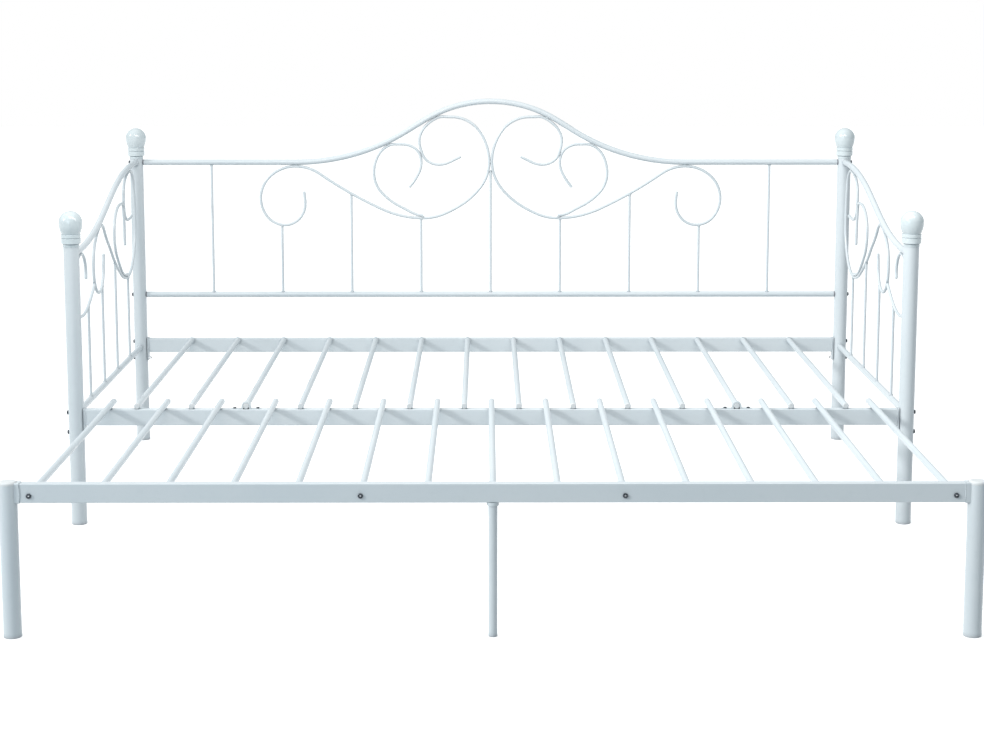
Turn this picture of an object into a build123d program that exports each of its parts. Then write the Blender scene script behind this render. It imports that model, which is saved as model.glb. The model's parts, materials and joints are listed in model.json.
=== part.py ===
"""Pull-out daybed of powder-coated steel tube, in millimetres.

X runs along the bed, the front faces -Y and Z is up.  The bed stands with its
lower frame pulled out, and the origin is on the floor under the middle of it.
"""

import math
import os

from build123d import *

# ---- Bed size -------------------------------------------------------------
bed_length = 2050.0  # between the left and right post axes
bed_depth = 920.0  # between the front and rear post axes
pull_out = 857.0  # from the front rail's axis to the pull-out rail's axis

# ---- Posts, finials and feet ----------------------------------------------
post_d = 38.0
tube_wall = 1.2
front_post_top = 695.0
rear_post_top = 831.5
plug_clearance = 0.15  # all round, between a plug and the tube it fills
foot_thickness = 5.0
foot_stem = 18.0
foot_edge = 1.5
finial_stem = 24.0
finial_lip_d = 39.4
finial_lip_height = 6.4
finial_collar_d = 47.0
finial_collar_height = 13.0
finial_groove_d = 43.6
finial_groove_height = 1.4
finial_ring_d = 47.0
finial_ring_height = 8.4
finial_neck_d = 43.6
finial_ball_d = 57.0
finial_neck_rise = 28.0  # from the ring to the widest part of the ball
finial_edge = 1.0

# ---- Round rails, balusters and scroll rods -------------------------------
rail_d = 16.0
rail_wall = 1.0
rod_d = 8.0
baluster_d = 7.0
weld_bite = 0.1  # how far two welded rods sink into each other
rod_tip = 0.4  # rounding of a free rod end, as a share of its diameter

# ---- Back panel -----------------------------------------------------------
back_rail_height = 820.0  # axis of the flat ends of the top rail
crown_height = 996.0  # axis of the top rail at mid length
crown_slope = 32.0  # degrees
crown_radius = 365.0
crown_foot_radius = 610.0
back_lower_height = 433.0
back_balusters_count = 9
baluster_inset = 217.0  # from a post axis to the outermost baluster
heart_bottom = (195.0, 657.0)
heart_waist = 821.0  # height where the two hearts touch
crown_contact = 162.0  # where the heart touches the top rail
outer_curl_contact = 565.0  # where the outer curl touches the top rail
inner_curl_contact = 300.0  # where the inner curl touches the top rail

# ---- Side panels ----------------------------------------------------------
side_front_height = 673.0  # axis of the top rail at the front post
side_slope = 17.5  # degrees
side_bend_radius = 1150.0
side_bend_middle = 465.0  # behind the front post axis
side_lower_height = 278.0
side_balusters_count = 4
side_bottom = (730.0, 512.0)
front_curl_contact = 104.0
small_curl_contact = 352.0
large_curl_contact = 796.0

# ---- Box-section rails ----------------------------------------------------
box_width = 20.0
box_height = 40.0
box_wall = 1.2
box_corner = 2.0
front_rail_bottom = 251.0
rear_rail_bottom = 263.0
pullout_rail_bottom = 284.0
plate_thickness = 4.0
plate_above = 2.0  # above the rail
plate_below = 24.0  # below the rail
plate_corner = 3.0

# ---- Slats ----------------------------------------------------------------
slat_d = 15.0
slat_wall = 1.0
slat_pitch = 134.5
fixed_slat_count = 14
pullout_slat_count = 15
screwed_slats = (-7, -2, 2, 7)  # pull-out slats held by a screw, counted from the middle one
slat_overlap = 50.0  # pull-out slats past the front rail's axis, at rest
slide_clearance = 0.3  # between the pull-out slats and the front rail
slat_plug_head = 4.0
slat_plug_stem = 14.0
slat_plug_rounding = 0.6  # as a share of the head
slat_front_inset = 3.5  # a fixed slat's plug back from the rail's front face
saddle_slat = 4.5  # which slats the saddles hold, in pitches from the middle
saddle_wall = 4.0  # of the arch over the slat
saddle_width = 12.0
saddle_ear = 24.0
saddle_ear_thickness = 1.6
saddle_hole_inset = 7.0  # from the ear's end
saddle_clearance = 0.1
saddle_edge = 1.0
saddle_screw_d = 4.0
saddle_screw_head_d = 8.0
saddle_screw_head = 2.4
saddle_screw_length = 10.0
saddle_socket_d = 3.0
saddle_socket_depth = 1.2

# ---- Pull-out legs --------------------------------------------------------
leg_d = 38.0
leg_gap = 1.0  # between a leg and the post it slides past
leg_below_rail_top = 3.0
leg_cap_rise = 7.0
leg_cap_stem = 15.0
leg_cap_rounding = 0.8  # as a share of the rise
end_plate_thickness = 6.0
end_plate_above = 1.5
end_plate_wrap = 9.5  # how far the plate reaches round the leg
centre_leg_d = 19.0
centre_foot_thickness = 4.0
centre_foot_edge = 1.0
collar_d = 25.0
collar_height = 7.0

# ---- Fasteners ------------------------------------------------------------
bolt_d = 6.0
bolt_hole_d = 6.6
bolt_head_d = 10.5
bolt_head_height = 3.6
head_rounding = 0.4  # of a bolt's head, as a share of its height
bolt_socket_d = 4.6
bolt_socket_depth = 2.2
bolt_drop = 9.0  # upper bolt below the rail's top
bolt_spacing = 49.0
nut_width = 10.0
nut_height = 5.0
bolt_past_nut = 1.0
insert_flange = 2.5
insert_stem = 22.0
insert_wrap = 9.5  # how far the flange reaches round the post
insert_bolt_depth = 18.0
screw_past_rail = 12.0
cut_past = 1.0  # how far a cut runs past the face it opens
thread_clearance = 0.05  # all round, between a bolt and its thread

# ---- Where things are -----------------------------------------------------
post_x = bed_length / 2
leg_x = post_x - post_d / 2 - leg_gap - leg_d / 2
total_depth = leg_d / 2 + pull_out + bed_depth + finial_ball_d / 2
pullout_y = leg_d / 2 - total_depth / 2
front_y = pullout_y + pull_out
rear_y = front_y + bed_depth
front_rail_top = front_rail_bottom + box_height
pullout_rail_top = pullout_rail_bottom + box_height
fixed_slat_z = front_rail_top + slat_d / 2
pullout_slat_z = fixed_slat_z + slide_clearance
touch_rail = (rail_d + rod_d) / 2 - weld_bite  # rod axis to rail axis
touch_rod = rod_d - weld_bite  # rod axis to rod axis
sides = {"left": -1, "right": 1}

back_plane = Plane(origin=(0, rear_y, 0), x_dir=(1, 0, 0), z_dir=(0, -1, 0))


def side_plane(side):
    """Across is the distance behind the front post's axis, up is height."""
    return Plane(origin=(side * post_x, front_y, 0), x_dir=(0, 1, 0), z_dir=(1, 0, 0))


def save(piece, node):
    piece.label = node
    export_step(piece, f"parts/{node}.step")


# ---- Outlines -------------------------------------------------------------
def heading(degrees):
    return Vector(1, 0).rotate(Axis.Z, degrees)


def curl(keys):
    """Arcs through each key (across, up, heading), a tangent pair to each gap."""
    for (x0, y0, turn0), (x1, y1, turn1) in zip(keys, keys[1:]):
        start, end = Vector(x0, y0), Vector(x1, y1)
        leave, arrive = heading(turn0), heading(turn1)
        gap = end - start
        along = gap.dot(leave + arrive)
        spread = 2 * (1 - leave.dot(arrive))
        if spread < 1e-9:
            reach = gap.dot(gap) / (2 * along)
        else:
            reach = (math.sqrt(along**2 + spread * gap.dot(gap)) - along) / spread
        first, last = start + leave * reach, end - arrive * reach
        middle = (first + last) * 0.5
        TangentArc(start, middle, tangent=leave)
        TangentArc(middle, end, tangent=last - first)


def mirrored(keys):
    return [(-x, y, 180 - turn) for x, y, turn in keys]


def beside(key, distance, reverse=False):
    """The key moved to its left by a distance, and turned round if asked."""
    x, y, turn = key
    aside = heading(turn + 90) * distance
    return (x + aside.X, y + aside.Y, turn + 180 if reverse else turn)


def under(path, across, forward=True):
    """The key where a rod below the path touches it at that distance across."""
    low, high = 0.0, 1.0
    while high - low > 1e-7:
        middle = (low + high) / 2
        if path.position_at(middle).X < across:
            low = middle
        else:
            high = middle
    spot, way = path.position_at(low), path.tangent_at(low)
    slope = math.degrees(math.atan2(way.Y, way.X))
    key = beside((spot.X, spot.Y, slope), -touch_rail)
    return key if forward else (key[0], key[1], slope + 180)


def bent_run(points, radii):
    """Straight runs joined by tangent arcs."""
    with BuildLine() as run:
        FilletPolyline(*points, radius=radii)
    return run.wires()[0]


def rod(path, diameter, bore=0.0):
    """A round bar or tube along a path that is already in place."""
    with BuildPart() as bar:
        start = Plane(origin=path.position_at(0), z_dir=path.tangent_at(0))
        with BuildSketch(start):
            Circle(diameter / 2)
            if bore:
                Circle(bore / 2, mode=Mode.SUBTRACT)
        sweep(path=path)
    return bar.part


def scroll(plane, keys, round_start=False, round_end=False):
    """A bent rod in a plane, its free ends rounded."""
    with BuildLine() as line:
        curl(keys)
    path = plane.from_local_coords(line.wires()[0])
    with BuildPart() as bar:
        add(rod(path, rod_d))
        for free, share in ((round_start, 0), (round_end, 1)):
            if free:
                flats = bar.faces().filter_by(GeomType.PLANE)
                end = flats.sort_by_distance(path.position_at(share))[0]
                fillet(end.edges(), rod_tip * rod_d)
    return bar.part


# ---- Plain pieces ---------------------------------------------------------
def upright(x, y, bottom, top, diameter, bore=0.0):
    with BuildPart() as bar:
        with BuildSketch(Plane(origin=(x, y, bottom))):
            Circle(diameter / 2)
            if bore:
                Circle(bore / 2, mode=Mode.SUBTRACT)
        extrude(amount=top - bottom)
    return bar.part


def level_bar(start, way, length, diameter, bore=0.0):
    """A level bar or tube from a start point along X or Y."""
    with BuildPart() as bar:
        with BuildSketch(Plane(origin=start, z_dir=way)):
            Circle(diameter / 2)
            if bore:
                Circle(bore / 2, mode=Mode.SUBTRACT)
        extrude(amount=length)
    return bar.part


def box_rail(length, y, bottom, cross_holes=(), top_holes=()):
    """A box-section tube along X, with holes through it along Y and in its top."""
    with BuildPart() as rail:
        section = Plane(origin=(-length / 2, y, bottom + box_height / 2), z_dir=(1, 0, 0), x_dir=(0, 1, 0))
        with BuildSketch(section):
            RectangleRounded(box_width, box_height, box_corner)
            inner_corner = box_corner - box_wall
            RectangleRounded(
                box_width - 2 * box_wall, box_height - 2 * box_wall, inner_corner, mode=Mode.SUBTRACT
            )
        extrude(amount=length)
        for x, z in cross_holes:
            add(
                level_bar((x, y - box_width, z), (0, 1, 0), 2 * box_width, bolt_hole_d),
                mode=Mode.SUBTRACT,
            )
        middle = bottom + box_height / 2
        for x in top_holes:
            hole_d = saddle_screw_d + 2 * thread_clearance
            add(upright(x, y, middle, middle + box_height, hole_d), mode=Mode.SUBTRACT)
    return rail.part


def end_cap(x, y, height, facing, tube_d, bore_d, head, stem, rounding):
    """A plug in the end of an upright tube: facing is 1 up, -1 down."""
    with BuildPart() as cap:
        with BuildSketch(Plane(origin=(x, y, height), z_dir=(0, 0, facing))):
            Circle(tube_d / 2)
        extrude(amount=head)
        fillet(cap.faces().sort_by(Axis.Z)[-1 if facing > 0 else 0].edges(), rounding)
        with BuildSketch(Plane(origin=(x, y, height), z_dir=(0, 0, -facing))):
            Circle(bore_d / 2 - plug_clearance)
        extrude(amount=stem)
    return cap.part


def bolt(head_face, way, length, diameter, head_d, head_height, socket_d, socket_depth):
    """A socket-head bolt: its head stands on head_face, its shank runs along way."""
    back = Vector(*way) * -1
    with BuildPart() as body:
        with BuildSketch(Plane(origin=head_face, z_dir=back)):
            Circle(head_d / 2)
        extrude(amount=head_height)
        top = Vector(*head_face) + back * head_height
        rim = body.edges().filter_by(GeomType.CIRCLE).sort_by_distance(top)[0]
        fillet(rim, head_rounding * head_height)
        with BuildSketch(Plane(origin=top, z_dir=back)):
            RegularPolygon(socket_d / 2, 6)
        extrude(amount=-socket_depth, mode=Mode.SUBTRACT)
        with BuildSketch(Plane(origin=head_face, z_dir=way)):
            Circle(diameter / 2)
        extrude(amount=length)
    return body.part


def group(pieces, node):
    """Identical separate pieces that share a node."""
    with BuildPart() as together:
        for piece in pieces:
            add(piece)
    save(together.part, node)


# ---- Posts, finials and feet ----------------------------------------------
rear_bolt_heights = [rear_rail_bottom + box_height - bolt_drop - n * bolt_spacing for n in (0, 1)]
front_bolt_heights = [front_rail_top - bolt_drop - n * bolt_spacing for n in (0, 1)]
back_bolt_heights = [back_rail_height, back_lower_height]
post_bore = post_d - 2 * tube_wall


def post(x, y, top, bolt_heights):
    with BuildPart() as tube:
        add(upright(x, y, foot_thickness, top, post_d, post_bore))
        for z in bolt_heights:
            add(level_bar((x - post_d, y, z), (1, 0, 0), 2 * post_d, bolt_hole_d), mode=Mode.SUBTRACT)
    return tube.part


def finial(x, y, base, bolt_heights=()):
    """A ball on a turned collar; a bolt can cross the stem that plugs the post."""
    stem_r = post_bore / 2 - plug_clearance
    collar_base = finial_lip_height + finial_groove_height
    collar_top = collar_base + finial_collar_height
    ring_base = collar_top + finial_groove_height
    ring_top = ring_base + finial_ring_height
    ball_z = ring_top + finial_neck_rise
    ball_r = finial_ball_d / 2
    with BuildPart() as knob:
        with BuildSketch(Plane(origin=(x, y, base), x_dir=(1, 0, 0), z_dir=(0, -1, 0))):
            with BuildLine():
                Polyline(
                    (0, -finial_stem),
                    (stem_r, -finial_stem),
                    (stem_r, 0),
                    (finial_lip_d / 2, 0),
                    (finial_lip_d / 2, finial_lip_height),
                    (stem_r, finial_lip_height),
                    (stem_r, collar_base),
                    (finial_collar_d / 2, collar_base),
                    (finial_collar_d / 2, collar_top),
                    (finial_groove_d / 2, collar_top),
                    (finial_groove_d / 2, ring_base),
                    (finial_ring_d / 2, ring_base),
                    (finial_ring_d / 2, ring_top),
                    (finial_neck_d / 2, ring_top),
                )
                TangentArc((ball_r, ball_z), (finial_neck_d / 2, ring_top), tangent=(0, -1))
                TangentArc((ball_r, ball_z), (0, ball_z + ball_r), tangent=(0, 1))
                Line((0, ball_z + ball_r), (0, -finial_stem))
            make_face()
        revolve(axis=Axis((x, y, 0), (0, 0, 1)))
        wide = [
            edge
            for edge in knob.edges().filter_by(GeomType.CIRCLE)
            if abs(edge.radius - finial_collar_d / 2) < 1e-3 or abs(edge.radius - finial_ring_d / 2) < 1e-3
        ]
        fillet(wide, finial_edge)
        for z in bolt_heights:
            add(level_bar((x - post_d, y, z), (1, 0, 0), 2 * post_d, bolt_hole_d), mode=Mode.SUBTRACT)
    return knob.part


def make_posts():
    for name, side in sides.items():
        x = side * post_x
        save(post(x, front_y, front_post_top, front_bolt_heights), f"front_post_{name}")
        save(post(x, rear_y, rear_post_top, rear_bolt_heights + back_bolt_heights), f"rear_post_{name}")
        save(finial(x, front_y, front_post_top), f"front_finial_{name}")
        save(finial(x, rear_y, rear_post_top, [back_rail_height]), f"rear_finial_{name}")
        for place, y in (("front", front_y), ("rear", rear_y)):
            foot = end_cap(x, y, foot_thickness, -1, post_d, post_bore, foot_thickness, foot_stem, foot_edge)
            save(foot, f"{place}_foot_{name}")


# ---- Back panel -----------------------------------------------------------
def crown_path():
    """The top rail's line: flat ends and one raised bow in the middle."""
    half_crown = crown_radius * math.tan(math.radians(crown_slope / 2))
    foot = half_crown + (crown_height - back_rail_height) / math.tan(math.radians(crown_slope))
    end = post_x - post_d / 2 - insert_flange
    points = [
        (-end, back_rail_height),
        (-foot, back_rail_height),
        (0, back_rail_height + foot * math.tan(math.radians(crown_slope))),
        (foot, back_rail_height),
        (end, back_rail_height),
    ]
    peak_gap = points[2][1] - crown_height
    peak_radius = peak_gap / (1 / math.cos(math.radians(crown_slope)) - 1)
    return bent_run(points, [crown_foot_radius, peak_radius, crown_foot_radius])


def back_scroll_keys(rail):
    """The outer curl, the long S, the heart and its hook, for the left half."""
    waist_x = touch_rod / 2
    hook_side = (-197, 843, -70)
    return [
        (-541, 735, -86),
        (-538, 700, -90),
        (-598, 637, 180),
        (-667, 714, 90),
        under(rail, -outer_curl_contact),
        (-430, 744, -31),
        (-heart_bottom[0], heart_bottom[1], 0),
        (-83, 697, 33),
        (-waist_x, heart_waist, 90),
        (-112, 951, 180),
        under(rail, -crown_contact, forward=False),
        (-206, 880, -90),
        hook_side,
        (-150, 813, 0),
        (-86, 836, 24),
    ]


def back_inner_keys(rail, outer):
    """The curl that hangs in the outer side of the heart, for the left half."""
    touching = beside(outer[12], -touch_rod, reverse=True)
    return [
        (-236, 747, 48),
        touching,
        (-256, 872, 180),
        under(rail, -inner_curl_contact, forward=False),
        (-338, 788, -90),
        (-264, 692, -27),
        beside(outer[6], touch_rod),
    ]


def make_back_panel():
    flat = crown_path()
    placed = back_plane.from_local_coords(flat)
    top_rail = rod(placed, rail_d, rail_d - 2 * rail_wall)
    top_filled = rod(placed, rail_d)
    half = post_x - post_d / 2 - insert_flange
    start = (-half, rear_y, back_lower_height)
    lower_rail = level_bar(start, (1, 0, 0), 2 * half, rail_d, rail_d - 2 * rail_wall)
    lower_filled = level_bar(start, (1, 0, 0), 2 * half, rail_d)
    save(top_rail, "back_top_rail")
    save(lower_rail, "back_lower_rail")

    outer = back_scroll_keys(flat)
    inner = back_inner_keys(flat, outer)
    cutters = [top_filled, lower_filled]
    for name, flip in (("left", False), ("right", True)):
        outer_rod = scroll(back_plane, mirrored(outer) if flip else outer, True, True)
        inner_rod = scroll(back_plane, mirrored(inner) if flip else inner, True)
        save(outer_rod, f"back_scroll_{name}")
        save(inner_rod, f"back_inner_scroll_{name}")
        cutters += [outer_rod, inner_rod]

    pitch = 2 * (post_x - baluster_inset) / (back_balusters_count - 1)
    places = [(n - (back_balusters_count - 1) / 2) * pitch for n in range(back_balusters_count)]
    bars = []
    for x in places:
        meets_waist = abs(x) < rod_d
        top = heart_waist - 3 * rod_d if meets_waist else crown_height
        bars.append(baluster(x, rear_y, back_lower_height, top, cutters))
    group(bars, "back_balusters")
    group(back_rail_inserts(), "back_rail_inserts")


def baluster(x, y, bottom, top, cutters):
    """The lowest piece left of an upright rod once the rods across it are cut out."""
    with BuildPart() as bar:
        add(upright(x, y, bottom, top, baluster_d))
        for cutter in cutters:
            add(cutter, mode=Mode.SUBTRACT)
    return bar.solids().sort_by(Axis.Z)[0]


def back_rail_inserts():
    """Threaded plugs that close the back rails' ends and saddle the posts."""
    plugs = []
    flange_start = post_x - post_d / 2 - insert_flange
    for side in sides.values():
        for z in back_bolt_heights:
            with BuildPart() as plug:
                outward = Plane(origin=(side * flange_start, rear_y, z), z_dir=(side, 0, 0))
                with BuildSketch(outward):
                    Circle(rail_d / 2)
                extrude(amount=insert_flange + insert_wrap)
                add(
                    upright(side * post_x, rear_y, z - rail_d, z + rail_d, post_d + 2 * thread_clearance),
                    mode=Mode.SUBTRACT,
                )
                with BuildSketch(outward):
                    Circle(rail_d / 2 - rail_wall - plug_clearance)
                extrude(amount=-insert_stem)
                hole_start = (side * (flange_start - insert_stem - cut_past), rear_y, z)
                hole_length = insert_stem + insert_flange + 2 * cut_past
                add(
                    level_bar(hole_start, (side, 0, 0), hole_length, bolt_d + 2 * thread_clearance),
                    mode=Mode.SUBTRACT,
                )
            plugs.append(plug.solids().sort_by(SortBy.VOLUME)[-1])
    return plugs


# ---- Side panels ----------------------------------------------------------
def side_rail_path():
    """The top rail's line: low at the front post, high at the rear one."""
    rise = back_rail_height - side_front_height
    half = rise / math.tan(math.radians(side_slope)) / 2
    points = [
        (0, side_front_height),
        (side_bend_middle - half, side_front_height),
        (side_bend_middle + half, back_rail_height),
        (bed_depth, back_rail_height),
    ]
    return bent_run(points, [side_bend_radius, side_bend_radius])


def side_scroll_keys(rail):
    """The small curl, the S and the large curl with its hook."""
    return [
        (398, 624, -88),
        (392, 590, -96),
        (330, 531, 180),
        (272, 563.5, 121),
        (262, 606, 90),
        under(rail, small_curl_contact),
        (466, 641, -33),
        (560, 574, -31),
        (side_bottom[0], side_bottom[1], 0),
        (872, 658, 90),
        under(rail, large_curl_contact, forward=False),
        (702, 742, -92),
        (704, 712, -78),
        (764, 671, 0),
        (824, 675, 8),
    ]


def side_inner_keys(outer):
    """The curl that hangs inside the large one."""
    touching = beside(outer[12], -touch_rod, reverse=True)
    return [
        (706, 605, 92),
        touching,
        (645, 727, 180),
        (553, 655, -90),
        (640, 546, -36),
        beside(outer[8], touch_rod),
    ]


def side_front_keys(rail, outer):
    """The curl beside the front post, butted square on the small curl."""
    x, y, turn = beside(outer[3], rod_d / 2 - weld_bite)
    return [
        (x, y, turn + 90),
        (108, 505, 180),
        (27, 584, 90),
        under(rail, front_curl_contact),
        (165, 610, -84),
        (163, 590, -94),
    ]


def make_side_panel(name, side):
    plane = side_plane(side)
    flat = side_rail_path()
    placed = plane.from_local_coords(flat)
    x = side * post_x
    front_filled = upright(x, front_y, 0, rear_post_top, post_d)
    rear_filled = upright(x, rear_y, 0, rear_post_top, post_d)
    lower_start = (x, front_y, side_lower_height)
    top_filled = rod(placed, rail_d)
    lower_filled = level_bar(lower_start, (0, 1, 0), bed_depth, rail_d)

    with BuildPart() as top_rail:
        add(rod(placed, rail_d, rail_d - 2 * rail_wall))
        add(front_filled, mode=Mode.SUBTRACT)
        add(rear_filled, mode=Mode.SUBTRACT)
    save(top_rail.part, f"side_top_rail_{name}")

    with BuildPart() as lower_rail:
        add(level_bar(lower_start, (0, 1, 0), bed_depth, rail_d, rail_d - 2 * rail_wall))
        add(front_filled, mode=Mode.SUBTRACT)
        add(rear_filled, mode=Mode.SUBTRACT)
    save(lower_rail.part, f"side_lower_rail_{name}")

    outer = side_scroll_keys(flat)
    outer_rod = scroll(plane, outer, True, True)
    inner_rod = scroll(plane, side_inner_keys(outer), True)
    front_curl = scroll(plane, side_front_keys(flat, outer), False, True)
    save(outer_rod, f"side_scroll_{name}")
    save(inner_rod, f"side_inner_scroll_{name}")
    save(front_curl, f"side_front_curl_{name}")

    cutters = [top_filled, lower_filled, outer_rod, inner_rod, front_curl]
    pitch = bed_depth / (side_balusters_count + 1)
    bars = []
    for n in range(side_balusters_count):
        y = front_y + (n + 1) * pitch
        bars.append(baluster(x, y, side_lower_height, back_rail_height, cutters))
    group(bars, f"side_balusters_{name}")


# ---- Front and rear rails -------------------------------------------------
plate_x = post_x - post_d / 2 - plate_thickness / 2


def end_plates(y, rail_bottom, bolt_heights):
    """Flat plates welded over the rail's ends, drilled for the post bolts."""
    low = rail_bottom - plate_below
    high = rail_bottom + box_height + plate_above
    plates = []
    for side in sides.values():
        with BuildPart() as plate:
            face = Plane(
                origin=(side * plate_x, y, (low + high) / 2), x_dir=(0, 1, 0), z_dir=(1, 0, 0)
            )
            with BuildSketch(face):
                RectangleRounded(box_width, high - low, plate_corner)
                with Locations(*[(0, z - (low + high) / 2) for z in bolt_heights]):
                    Circle(bolt_hole_d / 2, mode=Mode.SUBTRACT)
            extrude(amount=plate_thickness / 2, both=True)
        plates.append(plate.part)
    return plates


def make_cross_rails():
    inside = 2 * (plate_x - plate_thickness / 2)
    save(box_rail(inside, front_y, front_rail_bottom, top_holes=saddle_screw_places()), "front_rail")
    save(box_rail(inside, rear_y, rear_rail_bottom), "rear_rail")
    group(end_plates(front_y, front_rail_bottom, front_bolt_heights), "front_rail_plates")
    group(end_plates(rear_y, rear_rail_bottom, rear_bolt_heights), "rear_rail_plates")


def rail_bolts_and_nuts():
    """Bolts from outside each post, through it and the plate, into a nut."""
    bolts, nuts = [], []
    nut_face = plate_x - plate_thickness / 2
    length = post_d + plate_thickness + nut_height + bolt_past_nut
    joints = [(front_y, z) for z in front_bolt_heights] + [(rear_y, z) for z in rear_bolt_heights]
    for side in sides.values():
        for y, z in joints:
            head = (side * (post_x + post_d / 2), y, z)
            bolts.append(socket_bolt(head, (-side, 0, 0), length))
            seat = Plane(origin=(side * nut_face, y, z), x_dir=(0, 1, 0), z_dir=(-side, 0, 0))
            with BuildPart() as nut:
                with BuildSketch(seat):
                    RegularPolygon(nut_width / 2, 6, major_radius=False)
                    Circle(bolt_d / 2 + thread_clearance, mode=Mode.SUBTRACT)
                extrude(amount=nut_height)
            nuts.append(nut.part)
    return bolts, nuts


def socket_bolt(head, way, length):
    return bolt(head, way, length, bolt_d, bolt_head_d, bolt_head_height, bolt_socket_d, bolt_socket_depth)


def make_fasteners():
    bolts, nuts = rail_bolts_and_nuts()
    group(bolts, "frame_bolts")
    group(nuts, "frame_nuts")
    panel_bolts = []
    length = post_d + insert_flange + insert_bolt_depth
    for side in sides.values():
        for z in back_bolt_heights:
            head = (side * (post_x + post_d / 2), rear_y, z)
            panel_bolts.append(socket_bolt(head, (-side, 0, 0), length))
    group(panel_bolts, "back_panel_bolts")


# ---- Slats ----------------------------------------------------------------
slat_bore = slat_d - 2 * slat_wall


def slat_places(count):
    return [(n - (count - 1) / 2) * slat_pitch for n in range(count)]


def slat_plug(x, y, z, way):
    """A plastic plug in a slat's end: its head stands out along way, 1 or -1 in Y."""
    with BuildPart() as plug:
        with BuildSketch(Plane(origin=(x, y, z), z_dir=(0, way, 0))):
            Circle(slat_d / 2)
        extrude(amount=slat_plug_head)
        tip = plug.faces().sort_by(Axis.Y)[-1 if way > 0 else 0]
        fillet(tip.edges(), slat_plug_rounding * slat_plug_head)
        with BuildSketch(Plane(origin=(x, y, z), z_dir=(0, -way, 0))):
            Circle(slat_bore / 2 - plug_clearance)
        extrude(amount=slat_plug_stem)
    return plug.part


def make_fixed_slats():
    front_end = front_y - box_width / 2 + slat_front_inset + slat_plug_head
    rear_end = rear_y - box_width / 2
    places = slat_places(fixed_slat_count)
    length = rear_end - front_end
    starts = [(x, front_end, fixed_slat_z) for x in places]
    slats = [level_bar(start, (0, 1, 0), length, slat_d, slat_bore) for start in starts]
    plugs = [slat_plug(x, front_end, fixed_slat_z, -1) for x in places]
    group(slats, "fixed_slats")
    group(plugs, "fixed_slat_plugs")


saddle_arch_r = slat_d / 2 + saddle_clearance + saddle_wall
saddle_reach = saddle_arch_r + saddle_ear


def saddle(x):
    """An arch over a slat, with an ear and a screw hole on each side."""
    across = Plane(origin=(x, front_y, front_rail_top), x_dir=(1, 0, 0), z_dir=(0, -1, 0))
    inner_r = saddle_arch_r - saddle_wall
    with BuildPart() as strap:
        with BuildSketch(across):
            with Locations((0, slat_d / 2)):
                Circle(saddle_arch_r)
            with Locations((0, slat_d / 4)):
                Rectangle(2 * saddle_arch_r, slat_d / 2)
            with Locations((0, -saddle_arch_r)):
                Rectangle(2 * saddle_arch_r, 2 * saddle_arch_r, mode=Mode.SUBTRACT)
            with Locations((0, slat_d / 2)):
                Circle(inner_r, mode=Mode.SUBTRACT)
            with Locations((0, slat_d / 4)):
                Rectangle(2 * inner_r, slat_d / 2, mode=Mode.SUBTRACT)
        extrude(amount=saddle_width / 2, both=True)
        crown = strap.faces().filter_by(GeomType.CYLINDER).sort_by(Axis.Z)[-1]
        fillet(crown.edges().filter_by(GeomType.CIRCLE), saddle_edge)
        for ear in (-1, 1):
            middle = ear * (saddle_reach + inner_r + saddle_wall / 2) / 2
            length = saddle_reach - inner_r - saddle_wall / 2
            hole = ear * (saddle_reach - saddle_hole_inset) - middle
            with BuildSketch(Plane(origin=(x + middle, front_y, front_rail_top))):
                Rectangle(length, saddle_width)
                with Locations((hole, 0)):
                    Circle(saddle_screw_d / 2 + thread_clearance, mode=Mode.SUBTRACT)
            extrude(amount=saddle_ear_thickness)
    return strap.part


def saddle_screw_places():
    """Where each saddle's two screws are along the rail."""
    out = saddle_reach - saddle_hole_inset
    return [side * saddle_slat * slat_pitch + ear * out for side in sides.values() for ear in (-1, 1)]


def make_saddles():
    for name, side in sides.items():
        save(saddle(side * saddle_slat * slat_pitch), f"slat_saddle_{name}")
    screws = [
        bolt(
            (x, front_y, front_rail_top + saddle_ear_thickness),
            (0, 0, -1),
            saddle_screw_length,
            saddle_screw_d,
            saddle_screw_head_d,
            saddle_screw_head,
            saddle_socket_d,
            saddle_socket_depth,
        )
        for x in saddle_screw_places()
    ]
    group(screws, "saddle_screws")


# ---- Pull-out frame -------------------------------------------------------
def make_pullout_frame():
    places = slat_places(pullout_slat_count)
    slat_front = pullout_y + box_width / 2
    slat_rear = front_y + slat_overlap
    length = slat_rear - slat_front
    starts = [(x, slat_front, pullout_slat_z) for x in places]
    slats = [level_bar(start, (0, 1, 0), length, slat_d, slat_bore) for start in starts]
    group(slats, "pullout_slats")
    group([slat_plug(x, slat_rear, pullout_slat_z, 1) for x in places], "pullout_slat_plugs")

    rail_half = leg_x - leg_d / 2 - end_plate_thickness
    screw_x = [n * slat_pitch for n in screwed_slats]
    holes = [(x, pullout_slat_z) for x in screw_x]
    save(box_rail(2 * rail_half, pullout_y, pullout_rail_bottom, holes), "pullout_rail")
    group([pullout_insert(x, slat_front) for x in screw_x], "slat_inserts")
    screws = []
    for x in screw_x:
        head = (x, pullout_y - box_width / 2, pullout_slat_z)
        screws.append(socket_bolt(head, (0, 1, 0), box_width + screw_past_rail))
    group(screws, "pullout_screws")
    group([pullout_end_plate(side) for side in sides.values()], "pullout_end_plates")
    make_pullout_legs()


def pullout_insert(x, slat_front):
    """A threaded plug in the front end of a screwed slat."""
    with BuildPart() as plug:
        with BuildSketch(Plane(origin=(x, slat_front, pullout_slat_z), z_dir=(0, 1, 0))):
            Circle(slat_bore / 2 - plug_clearance)
            Circle(bolt_d / 2 + thread_clearance, mode=Mode.SUBTRACT)
        extrude(amount=slat_plug_stem)
    return plug.part


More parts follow.
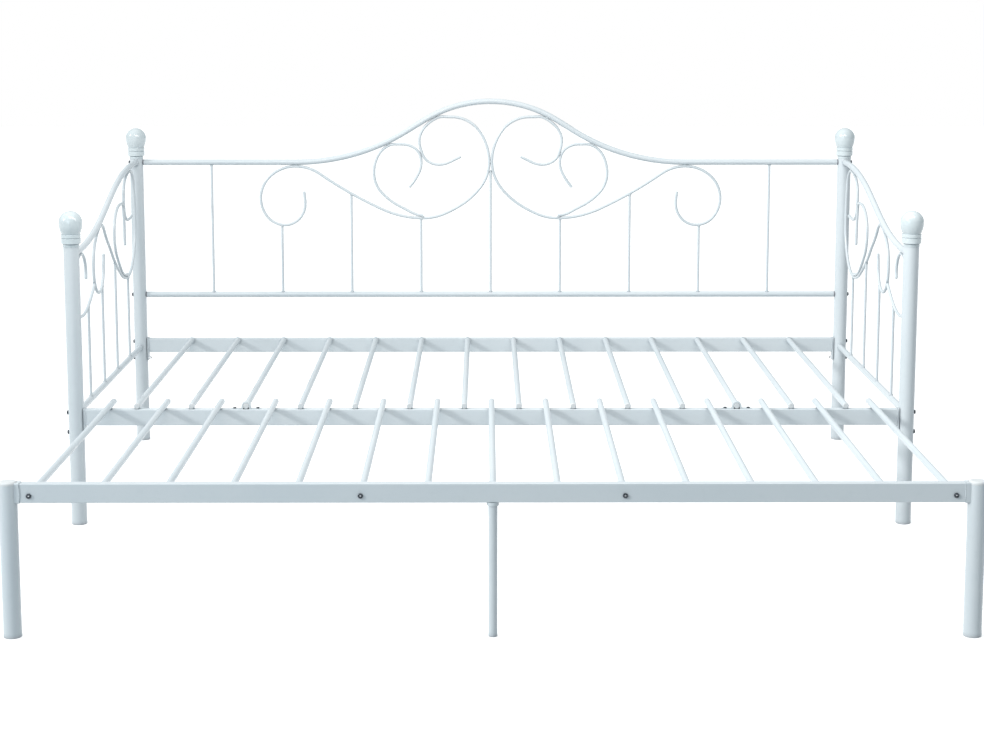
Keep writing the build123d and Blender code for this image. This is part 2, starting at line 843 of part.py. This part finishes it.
def pullout_end_plate(side):
    """A plate between the rail's end and the leg, saddled to the leg."""
    start = leg_x - leg_d / 2 - end_plate_thickness
    low = pullout_rail_bottom - end_plate_above
    high = pullout_rail_top + end_plate_above
    width = box_width + 2 * end_plate_above
    with BuildPart() as plate:
        face = Plane(
            origin=(side * start, pullout_y, (low + high) / 2), x_dir=(0, 1, 0), z_dir=(side, 0, 0)
        )
        with BuildSketch(face):
            RectangleRounded(width, high - low, plate_corner)
        extrude(amount=end_plate_thickness + end_plate_wrap)
        add(
            upright(side * leg_x, pullout_y, low - cut_past, high + cut_past, leg_d),
            mode=Mode.SUBTRACT,
        )
    return plate.solids().sort_by(SortBy.VOLUME)[-1]


def make_pullout_legs():
    bore = leg_d - 2 * tube_wall
    leg_top = pullout_rail_top - leg_below_rail_top
    for name, side in sides.items():
        x = side * leg_x
        save(upright(x, pullout_y, foot_thickness, leg_top, leg_d, bore), f"pullout_leg_{name}")
        dome = leg_cap_rounding * leg_cap_rise
        cap = end_cap(x, pullout_y, leg_top, 1, leg_d, bore, leg_cap_rise, leg_cap_stem, dome)
        save(cap, f"pullout_leg_cap_{name}")
        foot = end_cap(x, pullout_y, foot_thickness, -1, leg_d, bore, foot_thickness, foot_stem, foot_edge)
        save(foot, f"pullout_foot_{name}")

    centre_bore = centre_leg_d - 2 * tube_wall
    collar_bottom = pullout_rail_bottom - collar_height
    save(
        upright(0, pullout_y, centre_foot_thickness, pullout_rail_bottom, centre_leg_d, centre_bore),
        "centre_leg",
    )
    collar = upright(
        0, pullout_y, collar_bottom, pullout_rail_bottom, collar_d, centre_leg_d + 2 * thread_clearance
    )
    save(collar, "centre_leg_collar")
    foot = end_cap(
        0,
        pullout_y,
        centre_foot_thickness,
        -1,
        centre_leg_d,
        centre_bore,
        centre_foot_thickness,
        foot_stem,
        centre_foot_edge,
    )
    save(foot, "centre_leg_foot")


os.makedirs("parts", exist_ok=True)
make_posts()
make_back_panel()
for side_name, side_sign in sides.items():
    make_side_panel(side_name, side_sign)
make_cross_rails()
make_fasteners()
make_fixed_slats()
make_saddles()
make_pullout_frame()
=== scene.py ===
"""Looks of the pull-out daybed: materials, weld beads, studio and camera, in metres."""

import json
import math
import random

import bmesh
import bpy
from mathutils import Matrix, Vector
from mathutils.bvhtree import BVHTree


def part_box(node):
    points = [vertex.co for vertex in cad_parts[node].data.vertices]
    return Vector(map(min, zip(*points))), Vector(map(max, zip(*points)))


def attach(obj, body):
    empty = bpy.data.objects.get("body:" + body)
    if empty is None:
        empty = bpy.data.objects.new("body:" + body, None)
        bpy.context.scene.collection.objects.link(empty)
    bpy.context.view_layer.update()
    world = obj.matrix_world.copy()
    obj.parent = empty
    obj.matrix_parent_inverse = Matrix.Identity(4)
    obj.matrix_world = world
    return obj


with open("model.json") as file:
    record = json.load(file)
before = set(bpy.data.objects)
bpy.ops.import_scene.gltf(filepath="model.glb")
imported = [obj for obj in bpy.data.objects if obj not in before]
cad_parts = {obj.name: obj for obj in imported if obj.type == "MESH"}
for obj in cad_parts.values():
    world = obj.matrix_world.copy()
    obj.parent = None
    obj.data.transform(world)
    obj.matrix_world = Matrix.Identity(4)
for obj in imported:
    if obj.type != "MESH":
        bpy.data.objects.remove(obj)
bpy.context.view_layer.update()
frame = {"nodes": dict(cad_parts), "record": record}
scene = bpy.context.scene
nodes = frame["nodes"]
dice = random.Random(7)

# ---- Colours, linear ------------------------------------------------------
coat_shades = (0.655, 0.725, 0.768), (0.69, 0.75, 0.787)
coat_mottle = (0.64, 0.705, 0.745)
# grey of the painted shade in the coat's corners and contacts
coat_occlusion_shade = (0.30, 0.345, 0.38)
gloss_shades = (0.63, 0.72, 0.755), (0.68, 0.755, 0.785)
# grey of the painted shade in the finials' corners
gloss_occlusion_shade = (0.42, 0.48, 0.52)
floor_shades = (0.93, 0.93, 0.93), (0.95, 0.95, 0.95)
room_colour = (0.88, 0.96, 1.0)

# ---- Weld beads -----------------------------------------------------------
bead_sides = 8
bead_ripple = 0.14  # regular swelling, as a share of the radius
bead_scatter = 0.12  # uneven swelling, as a share of the radius
ripple_turn = 2.1  # radians of ripple from one ring of points to the next
bead_tip = 0.08  # square of an open bead's end thickness, as a share of its radius
bead_step = 0.0018  # between the rings of points of a straight bead
touch_reach = 0.0014  # bars this near each other are welded
tack_spacing = 0.03
tack_length = 0.009
tack_radius = 0.0016
tack_aside = 0.0032  # from the bars' touching line
upright_radius = 0.0013
upright_out = 0.0006  # from the upright's skin
upright_foot = 0.0012  # above its lower end
upright_head = 0.0014  # below its upper end
upright_points = 14
post_joint_radius = 0.0017
post_joint_out = 0.0006  # from the tube's skin
post_joint_points = 22
slat_radius = 0.0016
slat_out = 0.0005  # from the slat's skin and from the rail's face
slat_points = 22
rail_end_radius = 0.0017
rail_end_inset = 0.0008  # from the end plate
rail_end_trim = 0.003  # short of the rail's rounded corners
fillet_radius = 0.0019  # along a slat that lies on the front rail
fillet_aside = 0.0052  # from the slat's axis
fillet_up = 0.0012  # above the rail
fillet_front = 0.001  # behind the slat's front end
fillet_rear = 0.002  # before the rail's rear face

# ---- Painted glints in the sockets of the pull-out rail's screws ----------
socket_depth = 0.0019
glint_radius = 0.0019
glint_rise = 0.0005
glint_sides = 12

# ---- Camera ---------------------------------------------------------------
camera_lens = 71.4
camera_sensor = 36.0
camera_shift = -0.1
camera_x = -0.015
camera_back = 4.7207  # in front of the front posts' axes
camera_height = 1.3163
camera_down = math.radians(8.224)
camera_turn = 0.0034  # to the right, radians


# ---- Materials ------------------------------------------------------------
class Recipe:
    """A Principled material built up from procedural nodes."""

    def __init__(self, name, roughness, **sockets):
        self.material = bpy.data.materials.new(name)
        self.material.use_nodes = True
        self.tree = self.material.node_tree
        self.shader = self.tree.nodes["Principled BSDF"]
        self.shader.inputs["Roughness"].default_value = roughness
        for socket, value in sockets.items():
            self.shader.inputs[socket.replace("_", " ")].default_value = value
        self.place = self.tree.nodes.new("ShaderNodeTexCoord").outputs["Object"]
        self.normal = None

    def link(self, output, socket):
        self.tree.links.new(output, socket)

    def noise(self, scale, detail, stretch=None):
        """Noise in metres: scale is cycles in a metre."""
        texture = self.tree.nodes.new("ShaderNodeTexNoise")
        texture.inputs["Scale"].default_value = scale
        texture.inputs["Detail"].default_value = detail
        place = self.place
        if stretch:
            mapping = self.tree.nodes.new("ShaderNodeMapping")
            mapping.inputs["Scale"].default_value = stretch
            self.link(place, mapping.inputs["Vector"])
            place = mapping.outputs["Vector"]
        self.link(place, texture.inputs["Vector"])
        return texture.outputs["Fac"]

    def spread(self, value, low, high, to_low=0, to_high=1):
        """A value from low to high becomes one from to_low to to_high."""
        node = self.tree.nodes.new("ShaderNodeMapRange")
        limits = {"From Min": low, "From Max": high, "To Min": to_low, "To Max": to_high}
        for socket, amount in limits.items():
            node.inputs[socket].default_value = amount
        self.link(value, node.inputs["Value"])
        return node.outputs["Result"]

    def blend(self, factor, first, second):
        """A mix of two colours; either can be another node's output."""
        node = self.tree.nodes.new("ShaderNodeMix")
        node.data_type = "RGBA"
        self.link(factor, node.inputs["Factor"])
        for socket, colour in ((node.inputs[6], first), (node.inputs[7], second)):
            if isinstance(colour, tuple):
                socket.default_value = (*colour, 1)
            else:
                self.link(colour, socket)
        return node.outputs[2]

    def bump(self, height, distance, strength):
        """Relief, on top of any relief that was added before."""
        node = self.tree.nodes.new("ShaderNodeBump")
        node.inputs["Distance"].default_value = distance
        node.inputs["Strength"].default_value = strength
        self.link(height, node.inputs["Height"])
        if self.normal:
            self.link(self.normal, node.inputs["Normal"])
        self.normal = node.outputs["Normal"]
        self.link(self.normal, self.shader.inputs["Normal"])

    def crevice(self, reach):
        """1 in the open, less in corners within reach."""
        node = self.tree.nodes.new("ShaderNodeAmbientOcclusion")
        node.samples = 4
        node.inputs["Distance"].default_value = reach
        return node.outputs["AO"]

    def colour(self, output):
        self.link(output, self.shader.inputs["Base Color"])

    def roughness(self, output):
        self.link(output, self.shader.inputs["Roughness"])


def powder_coat(name, peel):
    """Satin white powder over steel: orange peel, slow shade drift, and painted shade that darkens
    its corners and contacts.
    """
    coat = Recipe(name, 0.36, Coat_Weight=0.25, Coat_Roughness=0.22)
    drift = coat.spread(coat.noise(scale=3.5, detail=3), 0.35, 0.65)
    shade = coat.blend(drift, *coat_shades)
    patches = coat.spread(coat.noise(scale=60, detail=4), 0.55, 0.75, 0, 0.5)
    mottled = coat.blend(patches, shade, coat_mottle)
    # painted shade: the coat darkens towards a grey where corners and contacts hide it from light
    corners = coat.spread(coat.crevice(reach=0.012), 0.35, 0.95, 0.75, 0)
    coat.colour(coat.blend(corners, mottled, coat_occlusion_shade))
    coat.roughness(coat.spread(coat.noise(scale=45, detail=3), 0.3, 0.7, 0.3, 0.44))
    coat.bump(coat.noise(scale=520, detail=1), distance=0.00012 * peel, strength=0.5)
    coat.bump(coat.noise(scale=95, detail=2), distance=0.00035 * peel, strength=0.35)
    return coat.material


def gloss_plastic():
    """Glossy white moulding of the finials, with faint flow marks, fine scuffs and painted shade in
    its corners.
    """
    shell = Recipe("finial_plastic", 0.13, Coat_Weight=0.5, Coat_Roughness=0.06)
    flow = shell.noise(scale=22, detail=3, stretch=(1, 1, 0.35))
    shade = shell.blend(shell.spread(flow, 0.35, 0.65), *gloss_shades)
    # painted shade: the moulding darkens where its corners hide it from light
    corners = shell.spread(shell.crevice(reach=0.008), 0.3, 0.9, 0.6, 0)
    shell.colour(shell.blend(corners, shade, gloss_occlusion_shade))
    scuffs = shell.noise(scale=150, detail=4, stretch=(1, 1, 5))
    shell.roughness(shell.spread(scuffs, 0.45, 0.75, 0.1, 0.24))
    shell.bump(shell.noise(scale=30, detail=1), distance=0.0004, strength=0.25)
    return shell.material


def moulded_plastic(name, light, dark, grain=1.0):
    """Matt moulded plastic with spark-eroded grain and painted shade in its corners."""
    shell = Recipe(name, 0.48)
    drift = shell.spread(shell.noise(scale=35, detail=3), 0.35, 0.65)
    shade = shell.blend(drift, dark, light)
    # painted shade: a darker copy of the plastic, laid on where corners hide it from light
    painted_corner_shade = tuple(0.62 * value for value in dark)
    corners = shell.spread(shell.crevice(reach=0.006), 0.3, 0.9, 0.7, 0)
    shell.colour(shell.blend(corners, shade, painted_corner_shade))
    shell.roughness(shell.spread(shell.noise(scale=210, detail=2), 0.3, 0.7, 0.4, 0.58))
    shell.bump(shell.noise(scale=1400, detail=2), distance=0.00008 * grain, strength=0.7)
    return shell.material


def plated_steel(name, light, dark, roughness):
    """Plated steel with a cloudy finish and fine tool marks."""
    steel = Recipe(name, roughness, Metallic=1.0)
    cloud = steel.spread(steel.noise(scale=260, detail=4), 0.35, 0.65)
    steel.colour(steel.blend(cloud, dark, light))
    rub = steel.noise(scale=700, detail=3)
    steel.roughness(steel.spread(rub, 0.3, 0.7, roughness - 0.08, roughness + 0.14))
    marks = steel.noise(scale=1800, detail=2, stretch=(1, 8, 1))
    steel.bump(marks, distance=0.00005, strength=0.6)
    return steel.material


plastics = {  # light shade, dark shade, depth of the grain
    "foot_plastic": ((0.62, 0.66, 0.69), (0.56, 0.60, 0.64), 1.0),
    "cap_plastic": ((0.76, 0.79, 0.80), (0.71, 0.745, 0.765), 0.5),
    "plug_plastic": ((0.72, 0.75, 0.77), (0.67, 0.71, 0.735), 0.6),
    "insert_plastic": ((0.27, 0.28, 0.31), (0.20, 0.21, 0.24), 1.0),
}
steels = {  # light shade, dark shade, roughness
    "bolt_steel": ((0.10, 0.11, 0.125), (0.04, 0.048, 0.058), 0.32),
    # the light zinc shades also give the painted highlight in the screw sockets
    "zinc_steel": ((0.86, 0.88, 0.90), (0.72, 0.74, 0.77), 0.36),
}
materials = {"powder_coat": powder_coat("powder_coat", peel=1.0), "finial_plastic": gloss_plastic()}
for slot, values in plastics.items():
    materials[slot] = moulded_plastic(slot, *values)
for slot, values in steels.items():
    materials[slot] = plated_steel(slot, *values)
weld_coat = powder_coat("weld_coat", peel=1.6)

for part in frame["record"]["subparts"]:
    for place in nodes[part["node"]].material_slots:
        place.material = materials[part["material_slot"]]


# ---- Making pieces --------------------------------------------------------
def link_object(name, data):
    thing = bpy.data.objects.new(name, data)
    scene.collection.objects.link(thing)
    return thing


def add_piece(name, shape, material, body, smooth):
    """A mesh object from a bmesh, which rides on a body."""
    bmesh.ops.recalc_face_normals(shape, faces=shape.faces)
    data = bpy.data.meshes.new(name)
    shape.to_mesh(data)
    shape.free()
    for face in data.polygons:
        face.use_smooth = smooth
    data.materials.append(material)
    piece = link_object(name, data)
    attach(piece, body)


def box_of(node):
    low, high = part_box(node)
    return Vector(low), Vector(high)


def circle(count):
    """Cosine and sine of each of count equal steps of a turn."""
    turns = [2 * math.pi * n / count for n in range(count)]
    return [(math.cos(turn), math.sin(turn)) for turn in turns]


class Welds:
    """Lumpy beads gathered into one mesh that rides on a body."""

    def __init__(self):
        self.mesh = bmesh.new()

    def bead(self, path, radius, closed=False):
        """A rippled tube along a list of points, which tapers if it is open."""
        count = len(path)
        rings = []
        for n, spot in enumerate(path):
            ahead = path[(n + 1) % count] if closed or n + 1 < count else spot
            behind = path[n - 1] if closed or n else spot
            way = (ahead - behind).normalized()
            aside = way.orthogonal().normalized()
            upward = way.cross(aside)
            scatter = dice.uniform(-bead_scatter, bead_scatter)
            ripple = 1 + bead_ripple * math.sin(n * ripple_turn) + scatter
            along = 2 * n / (count - 1) - 1
            taper = 1.0 if closed else math.sqrt(max(bead_tip, 1 - along**2))
            size = radius * ripple * taper
            rings.append(
                [
                    self.mesh.verts.new(spot + (aside * across + upward * up) * size)
                    for across, up in circle(bead_sides)
                ]
            )
        self.stitch(rings, closed)

    def stitch(self, rings, closed):
        """Faces between rings, each turned to meet the one before it best."""
        sides = len(rings[0])
        pairs = list(zip(rings, rings[1:])) + ([(rings[-1], rings[0])] if closed else [])
        for first, second in pairs:
            shift = min(range(sides), key=lambda k: (second[k].co - first[0].co).length)
            forward = (second[(shift + 1) % sides].co - first[1].co).length
            backward = (second[shift - 1].co - first[1].co).length
            step = 1 if forward <= backward else -1
            for k in range(sides):
                near = (first[k], first[(k + 1) % sides])
                far = (second[(shift + step * (k + 1)) % sides], second[(shift + step * k) % sides])
                self.mesh.faces.new(near + far)
        if not closed:
            self.mesh.faces.new(rings[0])
            self.mesh.faces.new(rings[-1])

    def ring(self, centre, axis, across, radius, count):
        """A bead round a bar, square to the bar's axis."""
        aside = axis.orthogonal().normalized()
        upward = axis.cross(aside)
        path = [centre + (aside * right + upward * up) * across for right, up in circle(count)]
        self.bead(path, radius, closed=True)

    def line(self, start, end, radius):
        count = max(5, round((end - start).length / bead_step))
        self.bead([start.lerp(end, n / (count - 1)) for n in range(count)], radius)

    def finish(self, name, body):
        add_piece(name, self.mesh, weld_coat, body, smooth=True)


# ---- Where welds go -------------------------------------------------------
def islands(node):
    """The low and high corners of each separate solid in a node, left to right."""
    shape = bmesh.new()
    shape.from_mesh(nodes[node].data)
    bmesh.ops.remove_doubles(shape, verts=shape.verts, dist=1e-6)
    left = set(shape.verts)
    found = []
    while left:
        edge = [left.pop()]
        spots = []
        while edge:
            vertex = edge.pop()
            spots.append(vertex.co.copy())
            for link in vertex.link_edges:
                other = link.other_vert(vertex)
                if other in left:
                    left.remove(other)
                    edge.append(other)
        low = Vector(min(spot[k] for spot in spots) for k in range(3))
        high = Vector(max(spot[k] for spot in spots) for k in range(3))
        found.append((low, high))
    shape.free()
    return sorted(found, key=lambda corners: tuple(corners[0]))


def surface(node):
    data = nodes[node].data
    spots = [vertex.co.copy() for vertex in data.vertices]
    return BVHTree.FromPolygons(spots, [tuple(face.vertices) for face in data.polygons])


def contacts(node, skin):
    """Where a node touches another's surface: the closest spot of each stretch."""
    data = nodes[node].data
    close = []
    for edge in data.edges:
        start, end = (data.vertices[k].co for k in edge.vertices)
        for share in (0.0, 0.25, 0.5, 0.75):
            spot = start.lerp(end, share)
            nearest, _, _, distance = skin.find_nearest(spot, touch_reach)
            if nearest is not None:
                middle = tuple((spot + nearest) / 2)
                close.append((distance, middle, tuple((end - start).normalized())))
    close.sort()
    kept = []
    for _, spot, _ in close:
        if all((Vector(spot) - other).length > tack_spacing for other in kept):
            kept.append(Vector(spot))
    return kept


def weld_scrolls(welds, pairs, aside):
    """A short bead on each side where a bent rod touches a rail or another rod."""
    for first, second in pairs:
        skin = surface(second)
        for spot in contacts(first, skin):
            normal = skin.find_nearest(spot)[1]
            along = normal.cross(aside).normalized() * tack_length / 2
            for side in (-1, 1):
                middle = spot + aside * side * tack_aside
                welds.line(middle - along, middle + along, tack_radius)


def weld_uprights(welds, node):
    """A bead round each upright at both its ends."""
    axis = Vector((0, 0, 1))
    for low, high in islands(node):
        across = (high.x - low.x) / 2 + upright_out
        middle = (low + high) / 2
        for height in (low.z + upright_foot, high.z - upright_head):
            centre = Vector((middle.x, middle.y, height))
            welds.ring(centre, axis, across, upright_radius, upright_points)


def weld_back():
    welds = Welds()
    pairs = [("back_scroll_left", "back_scroll_right")]
    for side in ("left", "right"):
        pairs.append((f"back_scroll_{side}", "back_top_rail"))
        pairs.append((f"back_inner_scroll_{side}", "back_top_rail"))
        pairs.append((f"back_inner_scroll_{side}", f"back_scroll_{side}"))
    weld_scrolls(welds, pairs, Vector((0, 1, 0)))
    weld_uprights(welds, "back_balusters")
    welds.finish("back_panel_welds", "daybed_frame")


def weld_side(side):
    """The side panel's tacks, and the beads where its rails meet the posts."""
    welds = Welds()
    scroll = f"side_scroll_{side}"
    rail = f"side_top_rail_{side}"
    curl = f"side_front_curl_{side}"
    inner = f"side_inner_scroll_{side}"
    pairs = [(scroll, rail), (inner, scroll), (curl, rail), (curl, scroll)]
    weld_scrolls(welds, pairs, Vector((1, 0, 0)))
    weld_uprights(welds, f"side_balusters_{side}")
    for place, toward in (("front", 1), ("rear", -1)):
        low, high = box_of(f"{place}_post_{side}")
        post = (low + high) / 2
        post_r = (high.x - low.x) / 2
        for tube in (rail, f"side_lower_rail_{side}"):
            tube_low, tube_high = box_of(tube)
            tube_r = (tube_high.x - tube_low.x) / 2
            height = tube_high.z - tube_r if place == "rear" else tube_low.z + tube_r
            reach = tube_r + post_joint_out
            path = []
            for right, up in circle(post_joint_points):
                out = reach * right
                back = toward * math.sqrt(post_r**2 - out**2)
                path.append(Vector((post.x + out, post.y + back, height + reach * up)))
            welds.bead(path, post_joint_radius, closed=True)
    welds.finish(f"side_panel_welds_{side}", "daybed_frame")


def weld_slat_ends(welds, node, face, toward):
    """A bead round each slat where its end meets a rail's face."""
    for low, high in islands(node):
        middle = (low + high) / 2
        across = (high.x - low.x) / 2 + slat_out
        centre = Vector((middle.x, face + toward * slat_out, middle.z))
        welds.ring(centre, Vector((0, 1, 0)), across, slat_radius, slat_points)


def weld_slats_on_rail(welds, slats, rail):
    """A bead down each side of each slat that lies on a rail."""
    rail_high = box_of(rail)[1]
    for low, high in islands(slats):
        middle = (low.x + high.x) / 2
        for side in (-1, 1):
            x = middle + side * fillet_aside
            height = rail_high.z + fillet_up
            start = Vector((x, low.y + fillet_front, height))
            stop = Vector((x, rail_high.y - fillet_rear, height))
            welds.line(start, stop, fillet_radius)


def weld_rail_ends(welds, rail):
    """A bead round a box-section rail at each end plate."""
    low, high = box_of(rail)
    corners = [(low.y, low.z), (high.y, low.z), (high.y, high.z), (low.y, high.z)]
    for end in (low.x + rail_end_inset, high.x - rail_end_inset):
        for here, there in zip(corners, corners[1:] + corners[:1]):
            start, stop = Vector((end, *here)), Vector((end, *there))
            trim = (stop - start).normalized() * rail_end_trim
            welds.line(start + trim, stop - trim, rail_end_radius)


def weld_frames():
    fixed = Welds()
    weld_slat_ends(fixed, "fixed_slats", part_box("rear_rail")[0][1], toward=-1)
    weld_slats_on_rail(fixed, "fixed_slats", "front_rail")
    weld_rail_ends(fixed, "front_rail")
    weld_rail_ends(fixed, "rear_rail")
    fixed.finish("slat_frame_welds", "daybed_frame")

    moving = Welds()
    weld_slat_ends(moving, "pullout_slats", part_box("pullout_rail")[1][1], toward=1)
    weld_rail_ends(moving, "pullout_rail")
    moving.finish("pullout_frame_welds", "pullout_frame")


def make_socket_glints():
    """Painted highlights: bright coned discs at the bottoms of the hexagon sockets in the pull-out
    rail's screws.
    """
    shape = bmesh.new()
    for low, high in islands("pullout_screws"):
        middle = (low + high) / 2
        bottom = Vector((middle.x, low.y + socket_depth, middle.z))
        tip = shape.verts.new(bottom - Vector((0, glint_rise, 0)))
        rim = [
            shape.verts.new(bottom + Vector((right, 0, up)) * glint_radius)
            for right, up in circle(glint_sides)
        ]
        for first, second in zip(rim, rim[1:] + rim[:1]):
            shape.faces.new((tip, first, second))
        shape.faces.new(rim)
    # painted highlight: bright zinc inside the dark screws' sockets, standing in for a glint
    glint_metal = materials["zinc_steel"]
    add_piece("pullout_socket_glints", shape, glint_metal, "pullout_frame", smooth=False)


weld_back()
weld_side("left")
weld_side("right")
weld_frames()
make_socket_glints()


# ---- Studio ---------------------------------------------------------------
def make_floor():
    """Pale paper that glows a little and throws no light back on the bed."""
    grid = bmesh.new()
    bmesh.ops.create_grid(grid, x_segments=1, y_segments=1, size=14.0)
    mesh = bpy.data.meshes.new("floor")
    grid.to_mesh(mesh)
    grid.free()
    paper = Recipe("floor_paper", 0.9, Emission_Color=(1, 1, 1, 1), Emission_Strength=0.45)
    paper.colour(paper.blend(paper.noise(scale=1.5, detail=2), *floor_shades))
    paper.bump(paper.noise(scale=90, detail=3), distance=0.0003, strength=0.2)
    mesh.materials.append(paper.material)
    floor = link_object("floor", mesh)
    floor.visible_diffuse = False


def make_world():
    """White to the camera; to the bed, a soft cool room that is brightest behind it on the left."""
    world = bpy.data.worlds.new("studio")
    world.use_nodes = True
    scene.world = world
    tree = world.node_tree
    tree.nodes.clear()

    def add_node(kind):
        return tree.nodes.new("ShaderNode" + kind)

    toward = add_node("VectorMath")
    toward.operation = "DOT_PRODUCT"
    toward.inputs[1].default_value = (-0.35, 0.94, 0.0)
    tree.links.new(add_node("TexCoord").outputs["Generated"], toward.inputs[0])
    ramp = add_node("MapRange")
    limits = {"From Min": -1.0, "From Max": 1.0, "To Min": 0.40, "To Max": 0.68}
    for socket, amount in limits.items():
        ramp.inputs[socket].default_value = amount
    tree.links.new(toward.outputs["Value"], ramp.inputs["Value"])
    room = add_node("Background")
    room.inputs["Color"].default_value = (*room_colour, 1)
    tree.links.new(ramp.outputs["Result"], room.inputs["Strength"])
    backdrop = add_node("Background")
    backdrop.inputs["Color"].default_value = (1, 1, 1, 1)
    backdrop.inputs["Strength"].default_value = 1.0
    choice = add_node("MixShader")
    tree.links.new(add_node("LightPath").outputs["Is Camera Ray"], choice.inputs["Fac"])
    tree.links.new(room.outputs[0], choice.inputs[1])
    tree.links.new(backdrop.outputs[0], choice.inputs[2])
    tree.links.new(choice.outputs[0], add_node("OutputWorld").inputs["Surface"])


def aim(light, place, target):
    light.location = place
    light.rotation_euler = (Vector(place) - Vector(target)).to_track_quat("Z", "Y").to_euler()


def sun(name, power, width, colour, place):
    """A distant light that shines from place towards the origin; width is in degrees."""
    data = bpy.data.lights.new(name, "SUN")
    data.energy = power
    data.angle = math.radians(width)
    data.color = colour
    aim(link_object(name, data), place, (0, 0, 0))


def soft_box(name, power, size, colour, place, target):
    data = bpy.data.lights.new(name, "AREA")
    data.shape = "RECTANGLE"
    data.size, data.size_y = size
    data.energy = power
    data.color = colour
    lamp = link_object(name, data)
    lamp.visible_camera = False
    aim(lamp, place, target)


def make_lights():
    """A low soft key from the left, a weak fill by the camera, and two lamps overhead."""
    sun("key", power=1.5, width=8, colour=(1.0, 0.98, 0.95), place=(-0.80, -0.36, 0.46))
    sun("top", power=0.3, width=70, colour=(1.0, 0.94, 0.88), place=(-0.05, 0.1, 1.0))
    soft_box(
        "fill",
        power=13.0,
        size=(1.6, 1.2),
        colour=(0.80, 0.92, 1.0),
        place=(-1.5, -3.0, 1.3),
        target=(0, 0, 0.4),
    )
    soft_box(
        "overhead",
        power=25.0,
        size=(2.6, 0.5),
        colour=(1.0, 0.95, 0.91),
        place=(0, -0.75, 2.0),
        target=(0, 0.75, 0.3),
    )


def make_camera():
    """Standing in front of the bed, a little left of its middle, looking slightly down."""
    data = bpy.data.cameras.new("camera")
    data.sensor_width = camera_sensor
    data.lens = camera_lens
    data.shift_y = camera_shift
    camera = link_object("camera", data)
    post_low, post_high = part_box("front_post_left")
    post_y = (post_low[1] + post_high[1]) / 2
    camera.location = (camera_x, post_y - camera_back, camera_height)
    camera.rotation_euler = (math.pi / 2 - camera_down, 0, -camera_turn)
    scene.camera = camera


make_floor()
make_world()
make_lights()
make_camera()
scene.view_settings.view_transform = "Standard"
scene.view_settings.look = "None"
